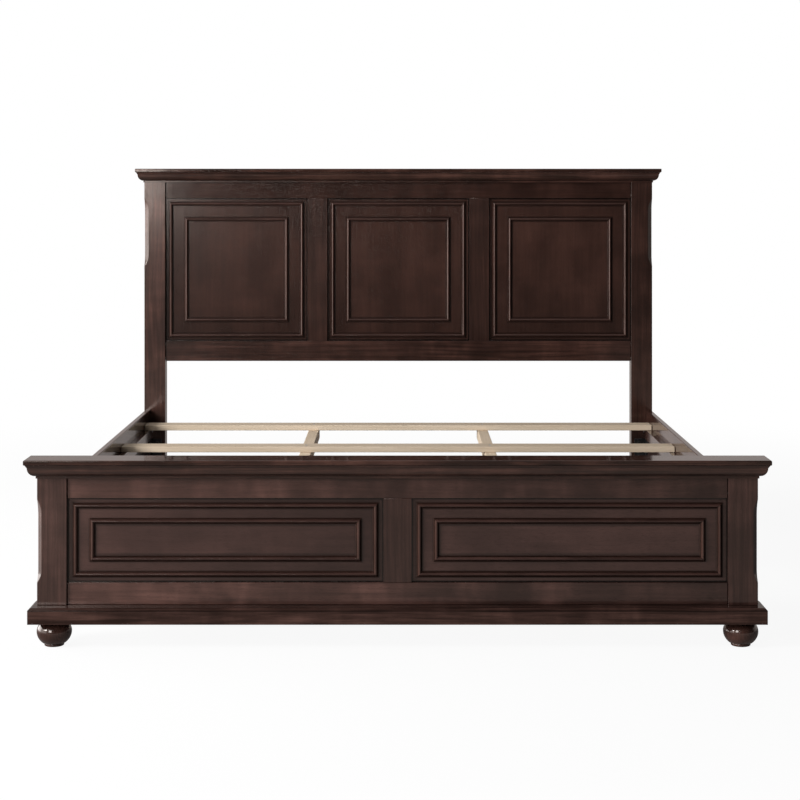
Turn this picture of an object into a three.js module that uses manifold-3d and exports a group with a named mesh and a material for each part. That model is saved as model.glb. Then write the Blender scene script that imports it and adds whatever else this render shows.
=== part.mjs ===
// A king-size panel bed base in dark stained pine, in millimetres, +Z up and the footboard at -Y.
// Both end boards are frame-and-panel work with applied bead mouldings under a moulded cap. The
// footboard stands on a plinth board with two turned bun feet. Split side rails, ledgers, pale slats
// and two beams on legs with screw-in levelling glides carry the mattress.
import * as THREE from "three";
import { mergeVertices } from "three/addons/utils/BufferGeometryUtils.js";
import Module from "manifold-3d";

const wasm = await Module();
wasm.setup();

// Mattress and the room round it
const MATTRESS_WIDTH = 1930;
const MATTRESS_LENGTH = 2032;
const SIDE_ROOM = 20;
const END_ROOM = 14;

// Clearances
const GAP = 0.3; // between pieces that touch or are glued
const SHOULDER_GAP = 1.5; // shadow line between an end board's rails and its posts
const OVERRUN = 6; // how far a cutter runs past the wood
const WELD = 0.001; // vertices closer than this are one

// Posts, alike at both ends but for their height
const POST_WIDTH = 83;
const POST_DEPTH = 60;

// Cap board and the crown moulding under it
const CAP_OVERHANG = 33;
const CAP_BACK = 8;
const CAP_THICKNESS = 14;
const CAP_EASE = 2;
const COVE_TOP_OUT = 29.5;
const COVE_FOOT_OUT = 24.5;
const COVE_HEIGHT = 8;
const OVOLO_OUT = 24;
const OVOLO_HEIGHT = 25;
const FILLET_OUT = 3.3;
const FILLET_HEIGHT = 7;
const OVOLO_STEPS = 8;

// Rails, mullions and panels of the end boards
const RAIL_SETBACK = 7; // behind the posts' front faces
const RAIL_DEPTH = 40;
const MULLION_WIDTH = 79;
const PANEL_SETBACK = 10; // behind the rails' front faces
const PANEL_THICKNESS = 12;
const GROOVE_DEPTH = 10;
const PANEL_PLAY = 1; // between a panel's edge and the foot of its groove
const TENON_LENGTH = 42;
const TENON_SHOULDER = 15;

// Heights of the headboard, from its cap down
const HEAD_HEIGHT = 1367;
const HEAD_TOP_RAIL_SHOW = 63; // of the top rail, below the crown moulding
const HEAD_OPENING_HEIGHT = 568;
const HEAD_BOTTOM_RAIL_HEIGHT = 80;

// Heights of the footboard, from its plinth up
const FOOT_BOTTOM_RAIL_HEIGHT = 61.2;
const FOOT_OPENING_HEIGHT = 237;
const FOOT_TOP_RAIL_SHOW = 57;

// Stopped chamfers on the outer front corners of the posts, from the height of the openings' tops;
// the footboard's are as long as its openings are high
const HEAD_CHAMFER_LENGTH = 272;
const HEAD_CHAMFER_WIDTH = 17;
const HEAD_CHAMFER_TOP_RUN = 47;
const HEAD_CHAMFER_FOOT_RUN = 47;
const FOOT_CHAMFER_WIDTH = 12.5;
const FOOT_CHAMFER_TOP_RUN = 42;
const FOOT_CHAMFER_FOOT_RUN = 33;
const CHAMFER_DEPTH = 17;
const CHAMFER_STEPS = 6;

// Bead mouldings applied to the panels
const MOULDING_WIDTH = 17;
const MOULDING_EDGE = 2.4;
const BEAD_WIDTH = 11;
const BEAD_HEIGHT = 8;
const BEAD_STEPS = 8;
const OUTER_INSET = 13.5; // from the opening to the outer frame
const HEAD_INNER_INSET = 75;
const FOOT_INNER_SIDE_INSET = 61;
const FOOT_INNER_END_INSET = 57;

// Plinth board and bun feet
const PLINTH_FRONT = 43; // past the posts' front faces
const PLINTH_SIDE = 19;
const PLINTH_BACK = 8;
const PLINTH_THICKNESS = 45;
const PLINTH_BEVEL_WIDTH = 8;
const PLINTH_BEVEL_HEIGHT = 6;
const BUN_SIDE_INSET = 45; // centre, in from the post's outer face
const BUN_FRONT_INSET = 20; // centre, behind the post's front face
const BUN_RADIUS = 49;
const BUN_HEIGHT = 71.5;
const BUN_WAIST = 40.4; // height of the widest place
const BUN_LOWER_REACH = 42; // half height of the lower ellipse, cut off by the pad
const BUN_UPPER_REACH = 38; // half height of the upper ellipse, cut off by the plinth
const BUN_PAD_RADIUS = 27.5;
const BUN_PAD_HEIGHT = 8.5;
const BUN_PAD_EASE = 2;
const BUN_PIN_RADIUS = 14;
const BUN_PIN_LENGTH = 28;
const BUN_SIDES = 32;
const BUN_STEPS = 8;

// Side rails, in two lengths each, and the ledgers on them
const RAIL_INSET = 5; // side rail's outer face behind the post's outer face
const SIDE_RAIL_THICKNESS = 20;
const SIDE_RAIL_HEIGHT = 216;
const SIDE_RAIL_TOP = 409;
const SIDE_RAIL_ROUND = 3;
const ROUND_STEPS = 4;
const LEDGER_THICKNESS = 20;
const LEDGER_HEIGHT = 40;

// Slats, beams, legs and glides
const SLAT_COUNT = 4;
const SLAT_WIDTH = 85;
const SLAT_THICKNESS = 20;
const SLAT_TOP = 369;
const SLAT_HEAD_ROOM = 90; // from the headboard to the rear slat
const SLAT_FOOT_ROOM = 118; // from the front slat to the footboard
const SLAT_SIDE_ROOM = 1;
const BEAM_SIZE = 40;
const BEAM_SIDE_SHARE = 1 / 3; // of half the bay's width
const LEG_SIZE = 38;
const LEG_FOOT = 22;
const DOWEL_RADIUS = 9;
const DOWEL_LENGTH = 25;
const GLIDE_RADIUS = 19;
const GLIDE_THICKNESS = 8;
const GLIDE_EASE = 1.5;
const STEM_RADIUS = 4;
const STEM_LENGTH = 50;
const STEM_CLEARANCE = 0.3;
const TRAVEL_ROOM = 12; // bore left above the stem
const ROD_SIDES = 16;

// Steel brackets and splice plates, with their bolts
const STEEL_THICKNESS = 3;
const BRACKET_HEIGHT = 90;
const BRACKET_RAIL_LEG = 60;
const BRACKET_POST_LEG = 45;
const BRACKET_DROP = 15; // below the ledger
const SPLICE_LENGTH = 220;
const SPLICE_HEIGHT = 80;
const BOLT_RADIUS = 4;
const BOLT_HEAD_RADIUS = 8;
const BOLT_HEAD_HEIGHT = 5;
const BOLT_DEPTH = 14; // into a side rail
const POST_BOLT_DEPTH = 38;
const BOLT_EDGE = 18; // from a bolt to the plate's edge
const HEX_SIDES = 6;

// Places that follow from the sizes above
const bayHalf = MATTRESS_WIDTH / 2 + SIDE_ROOM;
const bayLength = MATTRESS_LENGTH + 2 * END_ROOM;
const postOuter = bayHalf + SIDE_RAIL_THICKNESS + RAIL_INSET;
const postInner = postOuter - POST_WIDTH;
const length = PLINTH_FRONT + POST_DEPTH + bayLength + POST_DEPTH + CAP_BACK;
const footFront = PLINTH_FRONT - length / 2;
const bayFront = footFront + POST_DEPTH;
const bayBack = bayFront + bayLength;
const bayMiddle = (bayFront + bayBack) / 2;
const crownHeight = COVE_HEIGHT + OVOLO_HEIGHT + FILLET_HEIGHT;
const panelFront = RAIL_SETBACK + PANEL_SETBACK;
const panelBack = panelFront + PANEL_THICKNESS;
const plinthTop = BUN_HEIGHT + PLINTH_THICKNESS;
const slatUnder = SLAT_TOP - SLAT_THICKNESS;
const ledgerTop = slatUnder - GAP;
const ledgerFoot = ledgerTop - LEDGER_HEIGHT;
const railFoot = SIDE_RAIL_TOP - SIDE_RAIL_HEIGHT;
const bracketTop = ledgerFoot - BRACKET_DROP;
const rearSlatBack = bayBack - SLAT_HEAD_ROOM;
const frontSlatFront = bayFront + SLAT_FOOT_ROOM;
const slatPitch = (rearSlatBack - frontSlatFront - SLAT_WIDTH) / (SLAT_COUNT - 1);
const beamFoot = ledgerTop - BEAM_SIZE;
const beamX = bayHalf * BEAM_SIDE_SHARE;

const headOpeningTop = HEAD_HEIGHT - CAP_THICKNESS - crownHeight - HEAD_TOP_RAIL_SHOW;
const headOpeningFoot = headOpeningTop - HEAD_OPENING_HEIGHT;
const footRailFoot = plinthTop + GAP;
const footOpeningFoot = footRailFoot + FOOT_BOTTOM_RAIL_HEIGHT;
const footOpeningTop = footOpeningFoot + FOOT_OPENING_HEIGHT;

const HEAD = {
  name: "headboard",
  height: HEAD_HEIGHT,
  postFoot: 0,
  openingTop: headOpeningTop,
  openingFoot: headOpeningFoot,
  railFoot: headOpeningFoot - HEAD_BOTTOM_RAIL_HEIGHT,
  panels: ["left", "centre", "right"],
  mullions: ["mullion_left", "mullion_right"],
  innerInset: [HEAD_INNER_INSET, HEAD_INNER_INSET],
  chamfer: {
    length: HEAD_CHAMFER_LENGTH,
    width: HEAD_CHAMFER_WIDTH,
    topRun: HEAD_CHAMFER_TOP_RUN,
    footRun: HEAD_CHAMFER_FOOT_RUN,
  },
  bolts: -1, // the bay lies in front of the headboard's posts
};

const FOOT = {
  name: "footboard",
  height: footOpeningTop + FOOT_TOP_RAIL_SHOW + crownHeight + CAP_THICKNESS,
  postFoot: footRailFoot,
  openingTop: footOpeningTop,
  openingFoot: footOpeningFoot,
  railFoot: footRailFoot,
  panels: ["left", "right"],
  mullions: ["mullion"],
  innerInset: [FOOT_INNER_SIDE_INSET, FOOT_INNER_END_INSET],
  chamfer: {
    length: FOOT_OPENING_HEIGHT,
    width: FOOT_CHAMFER_WIDTH,
    topRun: FOOT_CHAMFER_TOP_RUN,
    footRun: FOOT_CHAMFER_FOOT_RUN,
  },
  bolts: 1, // the bay lies behind the footboard's posts
};

// Finishes
const finish = (color, roughness, metalness = 0) => () =>
  new THREE.MeshStandardMaterial({ color, roughness, metalness });
const stainedPine = finish(0x45332d, 0.32);
const stainedField = finish(0x3a2a25, 0.34);
const stainedBead = finish(0x33231e, 0.28);
const stainedTurning = finish(0x3d2c27, 0.15);
const palePine = finish(0xc8b08f, 0.65);
const steel = finish(0x8d8f92, 0.35, 0.9);
const glideNylon = finish(0x2a2a2b, 0.5);

// A closed geometry as a solid that can be joined and cut.
function toSolid(geometry) {
  const bare = geometry.index ? geometry.toNonIndexed() : geometry.clone();
  bare.deleteAttribute("normal");
  bare.deleteAttribute("uv");
  const merged = mergeVertices(bare, WELD);
  const vertProperties = Float32Array.from(merged.attributes.position.array);
  const triVerts = Uint32Array.from(merged.index.array);
  return new wasm.Manifold(new wasm.Mesh({ numProp: 3, vertProperties, triVerts }));
}

// A solid as a flat-shaded geometry.
function toGeometry(solid) {
  const { numProp, numVert, vertProperties, triVerts } = solid.getMesh();
  const places = new Float32Array(3 * numVert);
  for (let i = 0; i < numVert; i++) {
    places.set(vertProperties.subarray(i * numProp, i * numProp + 3), 3 * i);
  }
  const indexed = new THREE.BufferGeometry();
  indexed.setAttribute("position", new THREE.BufferAttribute(places, 3));
  indexed.setIndex(new THREE.BufferAttribute(triVerts, 1));
  const flat = indexed.toNonIndexed();
  flat.computeVertexNormals();
  return flat;
}

function join(first, ...others) {
  return others.reduce((whole, other) => whole.add(other), first);
}

function cut(whole, ...tools) {
  return tools.reduce((left, tool) => left.subtract(tool), whole);
}

// A box between two places on each axis.
function block([x0, x1], [y0, y1], [z0, z1]) {
  const box = new THREE.BoxGeometry(x1 - x0, y1 - y0, z1 - z0);
  box.translate((x0 + x1) / 2, (y0 + y1) / 2, (z0 + z1) / 2);
  return toSolid(box);
}

// A round or hexagonal rod along one axis; centre gives the other two coordinates in order.
function rod(axis, radius, centre, [from, to], sides = ROD_SIDES) {
  const bar = new THREE.CylinderGeometry(radius, radius, to - from, sides);
  const middle = (from + to) / 2;
  if (axis === "x") bar.rotateZ(Math.PI / 2).translate(middle, centre[0], centre[1]);
  if (axis === "y") bar.translate(centre[0], middle, centre[1]);
  if (axis === "z") bar.rotateX(Math.PI / 2).translate(centre[0], centre[1], middle);
  return toSolid(bar);
}

// A skin over sections of equal point counts; a ring joins its last section to its first.
function loft(sections, ring = false) {
  const count = sections[0].length;
  const places = sections.flat(2);
  const faces = [];
  const spans = ring ? sections.length : sections.length - 1;
  for (let s = 0; s < spans; s++) {
    const lower = s * count;
    const upper = ((s + 1) % sections.length) * count;
    for (let i = 0; i < count; i++) {
      const j = (i + 1) % count;
      faces.push(lower + i, lower + j, upper + j, lower + i, upper + j, upper + i);
    }
  }
  if (!ring) {
    const top = (sections.length - 1) * count;
    for (let i = 1; i < count - 1; i++) {
      faces.push(0, i + 1, i, top, top + i, top + i + 1);
    }
  }
  const skin = new THREE.BufferGeometry();
  skin.setAttribute("position", new THREE.Float32BufferAttribute(places, 3));
  skin.setIndex(faces);
  return toSolid(skin);
}

// A board whose front and side edges follow a profile of [overhang, height] pairs, foot first.
function profiledBoard(profile, sideExtra, frontExtra, back) {
  return loft(
    profile.map(([out, z]) => {
      const x = postOuter + sideExtra + out;
      const y = -frontExtra - out;
      return [[-x, y, z], [x, y, z], [x, back, z], [-x, back, z]];
    }),
  );
}

function place(group, name, geometry, material, x = 0, y = 0, z = 0) {
  const mesh = new THREE.Mesh(geometry, material());
  mesh.name = name;
  mesh.position.set(x, y, z);
  group.add(mesh);
  return mesh;
}

// A right-hand piece and its mirror image on the left.
function placePair(group, name, solid, material) {
  place(group, `${name}_right`, toGeometry(solid), material);
  place(group, `${name}_left`, toGeometry(solid), material).scale.x = -1;
}

// Depths, front to back, of the tongue line that panels, grooves and tenons share
const tongueY = [panelFront, panelBack];
const grooveY = [panelFront - GAP, panelBack + GAP];

function postTop(board) {
  return board.height - CAP_THICKNESS - GAP;
}

// How deep a stopped chamfer bites at a height, from 0 at its ends to 1: scooped stops.
function chamferBite(chamfer, fromFoot) {
  const foot = Math.min(1, fromFoot / chamfer.footRun);
  const top = Math.min(1, (chamfer.length - fromFoot) / chamfer.topRun);
  return Math.sin((Math.min(foot, top) * Math.PI) / 2);
}

function chamferCutter(board) {
  const { length: run, width, topRun, footRun } = board.chamfer;
  const foot = board.openingTop - run;
  const stops = [];
  for (let i = 0; i <= CHAMFER_STEPS; i++) stops.push((footRun * i) / CHAMFER_STEPS);
  for (let i = CHAMFER_STEPS; i >= 0; i--) stops.push(run - (topRun * i) / CHAMFER_STEPS);
  return loft(
    stops.map((h) => {
      const bite = chamferBite(board.chamfer, h);
      const alongFront = postOuter - width * (bite + OVERRUN / CHAMFER_DEPTH);
      const alongSide = CHAMFER_DEPTH * (bite + OVERRUN / width);
      const outside = postOuter + OVERRUN;
      return [
        [outside, -OVERRUN, foot + h],
        [outside, alongSide, foot + h],
        [alongFront, -OVERRUN, foot + h],
      ];
    }),
  );
}

// Height span of a rail's tenon
function tenonSpan([foot, top]) {
  return [foot + TENON_SHOULDER, top - TENON_SHOULDER];
}

function mortise(span) {
  const [foot, top] = tenonSpan(span);
  return block(
    [postInner - OVERRUN, postInner + TENON_LENGTH + GAP],
    grooveY,
    [foot - GAP, top + GAP],
  );
}

// Heights of the two bolts of a rail bracket
const bracketBoltHeights = [bracketTop - BOLT_EDGE, bracketTop - BRACKET_HEIGHT + BOLT_EDGE];
const bracketInnerX = bayHalf - GAP - BRACKET_POST_LEG;
const postBoltX = bracketInnerX + BOLT_EDGE;

// The bolt holes that a rail bracket needs in the bay side of a post
function postBoltHoles(board) {
  const face = board.bolts > 0 ? POST_DEPTH : 0;
  const inside = face - board.bolts * (POST_BOLT_DEPTH + GAP);
  const outside = face + board.bolts * OVERRUN;
  const span = [Math.min(inside, outside), Math.max(inside, outside)];
  return bracketBoltHeights.map((z) => rod("y", BOLT_RADIUS + GAP, [postBoltX, z], span));
}

function post(board) {
  const top = postTop(board);
  const body = block([postInner, postOuter], [0, POST_DEPTH], [board.postFoot, top]);
  const groove = block(
    [postInner - OVERRUN, postInner + GROOVE_DEPTH],
    grooveY,
    [board.openingFoot - GROOVE_DEPTH, board.openingTop + GROOVE_DEPTH],
  );
  return cut(
    body,
    chamferCutter(board),
    groove,
    mortise([board.openingTop, top]),
    mortise([board.railFoot, board.openingFoot]),
    ...postBoltHoles(board),
  );
}

// A cross rail with a tenon at each end and a panel groove in the edge that faces the openings
function crossRail([foot, top], grooveZ) {
  const end = postInner - SHOULDER_GAP;
  const tenonEnd = postInner + TENON_LENGTH;
  const depth = [RAIL_SETBACK, RAIL_SETBACK + RAIL_DEPTH];
  return cut(
    join(
      block([-end, end], depth, [foot, top]),
      block([-tenonEnd, tenonEnd], tongueY, tenonSpan([foot, top])),
    ),
    block([-end - OVERRUN, end + OVERRUN], grooveY, grooveZ),
  );
}

function topRail(board) {
  const groove = [board.openingTop - OVERRUN, board.openingTop + GROOVE_DEPTH];
  return crossRail([board.openingTop, postTop(board)], groove);
}

function bottomRail(board) {
  const groove = [board.openingFoot - GROOVE_DEPTH, board.openingFoot + OVERRUN];
  return crossRail([board.railFoot, board.openingFoot], groove);
}

// Width of one panel opening, and the centres of the openings from left to right
function openingWidth(board) {
  return (2 * postInner - board.mullions.length * MULLION_WIDTH) / board.panels.length;
}

function openingCentres(board) {
  const width = openingWidth(board);
  return board.panels.map((_, i) => -postInner + width / 2 + i * (width + MULLION_WIDTH));
}

// A mullion about x = 0, with stub tenons in the rails' grooves and a groove down each side
function mullion(board) {
  const half = MULLION_WIDTH / 2;
  const core = half - GROOVE_DEPTH;
  const body = block(
    [-half, half],
    [RAIL_SETBACK, RAIL_SETBACK + RAIL_DEPTH],
    [board.openingFoot + GAP, board.openingTop - GAP],
  );
  const stub = block(
    [-core, core],
    tongueY,
    [board.openingFoot - GROOVE_DEPTH + GAP, board.openingTop + GROOVE_DEPTH - GAP],
  );
  const height = [board.openingFoot, board.openingTop];
  return cut(
    join(body, stub),
    block([-half - OVERRUN, -core], grooveY, height),
    block([core, half + OVERRUN], grooveY, height),
  );
}

// A panel about x = 0, let into its grooves all round
function panel(board) {
  const tongue = GROOVE_DEPTH - PANEL_PLAY;
  const half = openingWidth(board) / 2 + tongue;
  return block(
    [-half, half],
    tongueY,
    [board.openingFoot - tongue, board.openingTop + tongue],
  );
}

// Section of a bead moulding: [in from the outer edge, proud of the panel]
function beadProfile() {
  const edge = (MOULDING_WIDTH - BEAD_WIDTH) / 2;
  const rise = BEAD_HEIGHT - MOULDING_EDGE;
  const points = [[0, 0], [MOULDING_WIDTH, 0], [MOULDING_WIDTH, MOULDING_EDGE]];
  for (let i = 0; i <= BEAD_STEPS; i++) {
    const angle = (Math.PI * i) / BEAD_STEPS;
    const across = edge + (BEAD_WIDTH * (1 + Math.cos(angle))) / 2;
    points.push([across, MOULDING_EDGE + rise * Math.sin(angle)]);
  }
  points.push([0, MOULDING_EDGE]);
  return points;
}

// A mitred frame of bead moulding about x = 0, set in from an opening by [side, end] insets
function mouldingFrame(board, [sideInset, endInset]) {
  const halfX = openingWidth(board) / 2 - sideInset;
  const halfZ = (board.openingTop - board.openingFoot) / 2 - endInset;
  const middle = (board.openingTop + board.openingFoot) / 2;
  const face = panelFront - GAP;
  const corners = [[1, -1], [1, 1], [-1, 1], [-1, -1]];
  const profile = beadProfile();
  const sections = corners.map(([sx, sz]) =>
    profile.map(([across, proud]) => [
      sx * (halfX - across),
      face - proud,
      middle + sz * (halfZ - across),
    ]),
  );
  return loft(sections, true);
}

function cap(board) {
  const under = board.height - CAP_THICKNESS;
  const eased = CAP_OVERHANG - CAP_EASE;
  const profile = [
    [eased, under],
    [CAP_OVERHANG, under + CAP_EASE],
    [CAP_OVERHANG, board.height - CAP_EASE],
    [eased, board.height],
  ];
  return profiledBoard(profile, 0, 0, POST_DEPTH + CAP_BACK);
}

// Crown moulding: a fillet, an ovolo and a cove along the front with a mitred return on each side
function crown(board) {
  const top = board.height - CAP_THICKNESS - GAP;
  const coveFoot = top - COVE_HEIGHT;
  const ovoloFoot = coveFoot - OVOLO_HEIGHT;
  const foot = ovoloFoot - FILLET_HEIGHT;
  const profile = [[FILLET_OUT, foot]];
  for (let i = 0; i <= OVOLO_STEPS; i++) {
    const angle = (Math.PI / 2) * (i / OVOLO_STEPS);
    const out = FILLET_OUT + (OVOLO_OUT - FILLET_OUT) * Math.sin(angle);
    profile.push([out, coveFoot - OVOLO_HEIGHT * Math.cos(angle)]);
  }
  profile.push([COVE_FOOT_OUT, coveFoot + GAP], [COVE_TOP_OUT, top]);
  const heights = [foot - OVERRUN, top + OVERRUN];
  const inside = postInner - GAP;
  const outside = postOuter + GAP;
  return cut(
    profiledBoard(profile, 0, 0, POST_DEPTH),
    block([-outside, -inside], [-GAP, POST_DEPTH + OVERRUN], heights),
    block([inside, outside], [-GAP, POST_DEPTH + OVERRUN], heights),
    block([-outside, outside], [RAIL_SETBACK - GAP, POST_DEPTH + OVERRUN], heights),
  );
}

// An end board about x = 0, with its posts' front faces at y = 0
function endBoard(board) {
  const group = new THREE.Group();
  const label = (piece) => `${board.name}_${piece}`;
  placePair(group, label("post"), post(board), stainedPine);
  place(group, label("cap"), toGeometry(cap(board)), stainedPine);
  place(group, label("crown"), toGeometry(crown(board)), stainedPine);
  place(group, label("top_rail"), toGeometry(topRail(board)), stainedPine);
  place(group, label("bottom_rail"), toGeometry(bottomRail(board)), stainedPine);
  const centres = openingCentres(board);
  const upright = toGeometry(mullion(board));
  board.mullions.forEach((name, i) => {
    place(group, label(name), upright, stainedPine, (centres[i] + centres[i + 1]) / 2);
  });
  const field = toGeometry(panel(board));
  const outer = toGeometry(mouldingFrame(board, [OUTER_INSET, OUTER_INSET]));
  const inner = toGeometry(mouldingFrame(board, board.innerInset));
  board.panels.forEach((name, i) => {
    place(group, label(`panel_${name}`), field, stainedField, centres[i]);
    place(group, label(`outer_moulding_${name}`), outer, stainedBead, centres[i]);
    place(group, label(`inner_moulding_${name}`), inner, stainedBead, centres[i]);
  });
  return group;
}

// Bun feet stand under the posts
const bunX = postOuter - BUN_SIDE_INSET;
const bunY = BUN_FRONT_INSET;

function plinth() {
  const top = plinthTop;
  const profile = [
    [0, BUN_HEIGHT],
    [0, top - PLINTH_BEVEL_HEIGHT],
    [-PLINTH_BEVEL_WIDTH, top],
  ];
  const pinTop = BUN_HEIGHT + BUN_PIN_LENGTH + GAP;
  const bores = [-bunX, bunX].map((x) =>
    rod("z", BUN_PIN_RADIUS + GAP, [x, bunY], [BUN_HEIGHT - OVERRUN, pinTop]),
  );
  return cut(
    profiledBoard(profile, PLINTH_SIDE, PLINTH_FRONT, POST_DEPTH + PLINTH_BACK),
    ...bores,
  );
}

// Half section of a turned bun foot, from its pad up to its pin: [radius, height]
function bunProfile() {
  const shoulder = BUN_HEIGHT - GAP;
  const points = [
    [0, 0],
    [BUN_PAD_RADIUS - BUN_PAD_EASE, 0],
    [BUN_PAD_RADIUS, BUN_PAD_EASE],
    [BUN_PAD_RADIUS, BUN_PAD_HEIGHT],
  ];
  const start = Math.asin((BUN_WAIST - BUN_PAD_HEIGHT) / BUN_LOWER_REACH);
  for (let i = 0; i < BUN_STEPS; i++) {
    const angle = start * (1 - i / BUN_STEPS);
    points.push([BUN_RADIUS * Math.cos(angle), BUN_WAIST - BUN_LOWER_REACH * Math.sin(angle)]);
  }
  const end = Math.asin((shoulder - BUN_WAIST) / BUN_UPPER_REACH);
  for (let i = 0; i <= BUN_STEPS; i++) {
    const angle = (end * i) / BUN_STEPS;
    points.push([BUN_RADIUS * Math.cos(angle), BUN_WAIST + BUN_UPPER_REACH * Math.sin(angle)]);
  }
  points.push([BUN_PIN_RADIUS, shoulder], [BUN_PIN_RADIUS, shoulder + BUN_PIN_LENGTH]);
  points.push([0, shoulder + BUN_PIN_LENGTH]);
  return points;
}

function bunFoot() {
  const outline = bunProfile().map(([radius, height]) => new THREE.Vector2(radius, height));
  const turning = new THREE.LatheGeometry(outline, BUN_SIDES);
  return toGeometry(toSolid(turning.rotateX(Math.PI / 2)));
}

function footboard() {
  const group = endBoard(FOOT);
  place(group, "footboard_plinth", toGeometry(plinth()), stainedPine);
  place(group, "bun_foot_left", bunFoot(), stainedTurning, -bunX, bunY);
  place(group, "bun_foot_right", bunFoot(), stainedTurning, bunX, bunY);
  group.position.y = footFront;
  return group;
}

function headboard() {
  const group = endBoard(HEAD);
  group.position.y = bayBack;
  return group;
}

// A side rail's board between two depths, with its upper edges rounded
function railBoard([y0, y1]) {
  const outline = new THREE.Shape();
  const outer = bayHalf + SIDE_RAIL_THICKNESS;
  const shoulder = SIDE_RAIL_TOP - SIDE_RAIL_ROUND;
  outline.moveTo(bayHalf, railFoot);
  outline.lineTo(outer, railFoot);
  outline.lineTo(outer, shoulder);
  outline.absarc(outer - SIDE_RAIL_ROUND, shoulder, SIDE_RAIL_ROUND, 0, Math.PI / 2, false);
  outline.lineTo(bayHalf + SIDE_RAIL_ROUND, SIDE_RAIL_TOP);
  const from = Math.PI / 2;
  outline.absarc(bayHalf + SIDE_RAIL_ROUND, shoulder, SIDE_RAIL_ROUND, from, Math.PI, false);
  const board = new THREE.ExtrudeGeometry(outline, {
    depth: y1 - y0,
    bevelEnabled: false,
    curveSegments: ROUND_STEPS,
  });
  return toSolid(board.rotateX(Math.PI / 2).translate(0, y1, 0));
}

// Bolts along X that pass a plate on a side rail's inner face, with hexagon heads in the bay
function railBolts(places, radius, depth) {
  const face = bayHalf - GAP;
  return places.map(([y, z]) => rod("x", radius, [y, z], [face - STEEL_THICKNESS, face + depth]));
}

function railBoltHeads(places) {
  const face = bayHalf - GAP - STEEL_THICKNESS;
  const span = [face - BOLT_HEAD_HEIGHT, face + STEEL_THICKNESS / 2];
  return places.map(([y, z]) => rod("x", BOLT_HEAD_RADIUS, [y, z], span, HEX_SIDES));
}

// Bolt places on a side rail, [y, z], for the bracket at a post's face; side is +1 at the footboard
function bracketRailBolts(face, side) {
  const y = face + side * (BRACKET_RAIL_LEG - BOLT_EDGE);
  return bracketBoltHeights.map((z) => [y, z]);
}

const spliceTop = bracketTop;
const spliceFoot = spliceTop - SPLICE_HEIGHT;

function spliceBolts() {
  const reach = SPLICE_LENGTH / 2 - BOLT_EDGE;
  const heights = [spliceTop - BOLT_EDGE, spliceFoot + BOLT_EDGE];
  return [-reach, reach].flatMap((y) => heights.map((z) => [bayMiddle + y, z]));
}

function sideRail(span) {
  const places = [
    ...bracketRailBolts(bayFront, 1),
    ...bracketRailBolts(bayBack, -1),
    ...spliceBolts(),
  ];
  return cut(railBoard(span), ...railBolts(places, BOLT_RADIUS + GAP, BOLT_DEPTH + GAP));
}

// An angle of steel from a side rail's inner face to a post's face, with its bolts
function railBracket(face, side) {
  const railFace = bayHalf - GAP;
  const postFace = face + side * GAP;
  const heights = [bracketTop - BRACKET_HEIGHT, bracketTop];
  const span = (a, b) => [Math.min(a, b), Math.max(a, b)];
  const railLeg = block(
    [railFace - STEEL_THICKNESS, railFace],
    span(postFace, face + side * BRACKET_RAIL_LEG),
    heights,
  );
  const postLeg = block(
    [bracketInnerX, railFace],
    span(postFace, postFace + side * STEEL_THICKNESS),
    heights,
  );
  const sunk = face - side * POST_BOLT_DEPTH;
  const headEnd = postFace + side * (STEEL_THICKNESS + BOLT_HEAD_HEIGHT);
  const headStart = postFace + (side * STEEL_THICKNESS) / 2;
  const postBolts = bracketBoltHeights.flatMap((z) => [
    rod("y", BOLT_RADIUS, [postBoltX, z], span(sunk, headStart)),
    rod("y", BOLT_HEAD_RADIUS, [postBoltX, z], span(headStart, headEnd), HEX_SIDES),
  ]);
  const places = bracketRailBolts(face, side);
  return join(
    railLeg,
    postLeg,
    ...postBolts,
    ...railBolts(places, BOLT_RADIUS, BOLT_DEPTH),
    ...railBoltHeads(places),
  );
}

// A steel plate across the joint of the two lengths of a side rail, with its bolts
function splicePlate() {
  const face = bayHalf - GAP;
  const plate = block(
    [face - STEEL_THICKNESS, face],
    [bayMiddle - SPLICE_LENGTH / 2, bayMiddle + SPLICE_LENGTH / 2],
    [spliceFoot, spliceTop],
  );
  const places = spliceBolts();
  return join(plate, ...railBolts(places, BOLT_RADIUS, BOLT_DEPTH), ...railBoltHeads(places));
}

function ledger() {
  const face = bayHalf - GAP;
  return block(
    [face - LEDGER_THICKNESS, face],
    [bayFront + GAP, bayBack - GAP],
    [ledgerFoot, ledgerTop],
  );
}

function sides() {
  const group = new THREE.Group();
  const front = sideRail([bayFront + GAP, bayMiddle - GAP]);
  const rear = sideRail([bayMiddle + GAP, bayBack - GAP]);
  placePair(group, "side_rail_front", front, stainedPine);
  placePair(group, "side_rail_rear", rear, stainedPine);
  placePair(group, "slat_ledger", ledger(), stainedPine);
  placePair(group, "rail_bracket_front", railBracket(bayFront, 1), steel);
  placePair(group, "rail_bracket_rear", railBracket(bayBack, -1), steel);
  placePair(group, "rail_splice_plate", splicePlate(), steel);
  return group;
}

// Centre of a slat, front to back; slat 1 is the rear one
function slatY(index) {
  return rearSlatBack - SLAT_WIDTH / 2 - index * slatPitch;
}

function slat() {
  const half = bayHalf - SLAT_SIDE_ROOM;
  return toGeometry(
    block([-half, half], [-SLAT_WIDTH / 2, SLAT_WIDTH / 2], [slatUnder, SLAT_TOP]),
  );
}

// Legs stand under the second and the third slat
const legYs = [slatY(SLAT_COUNT - 2), slatY(1)];

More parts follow.
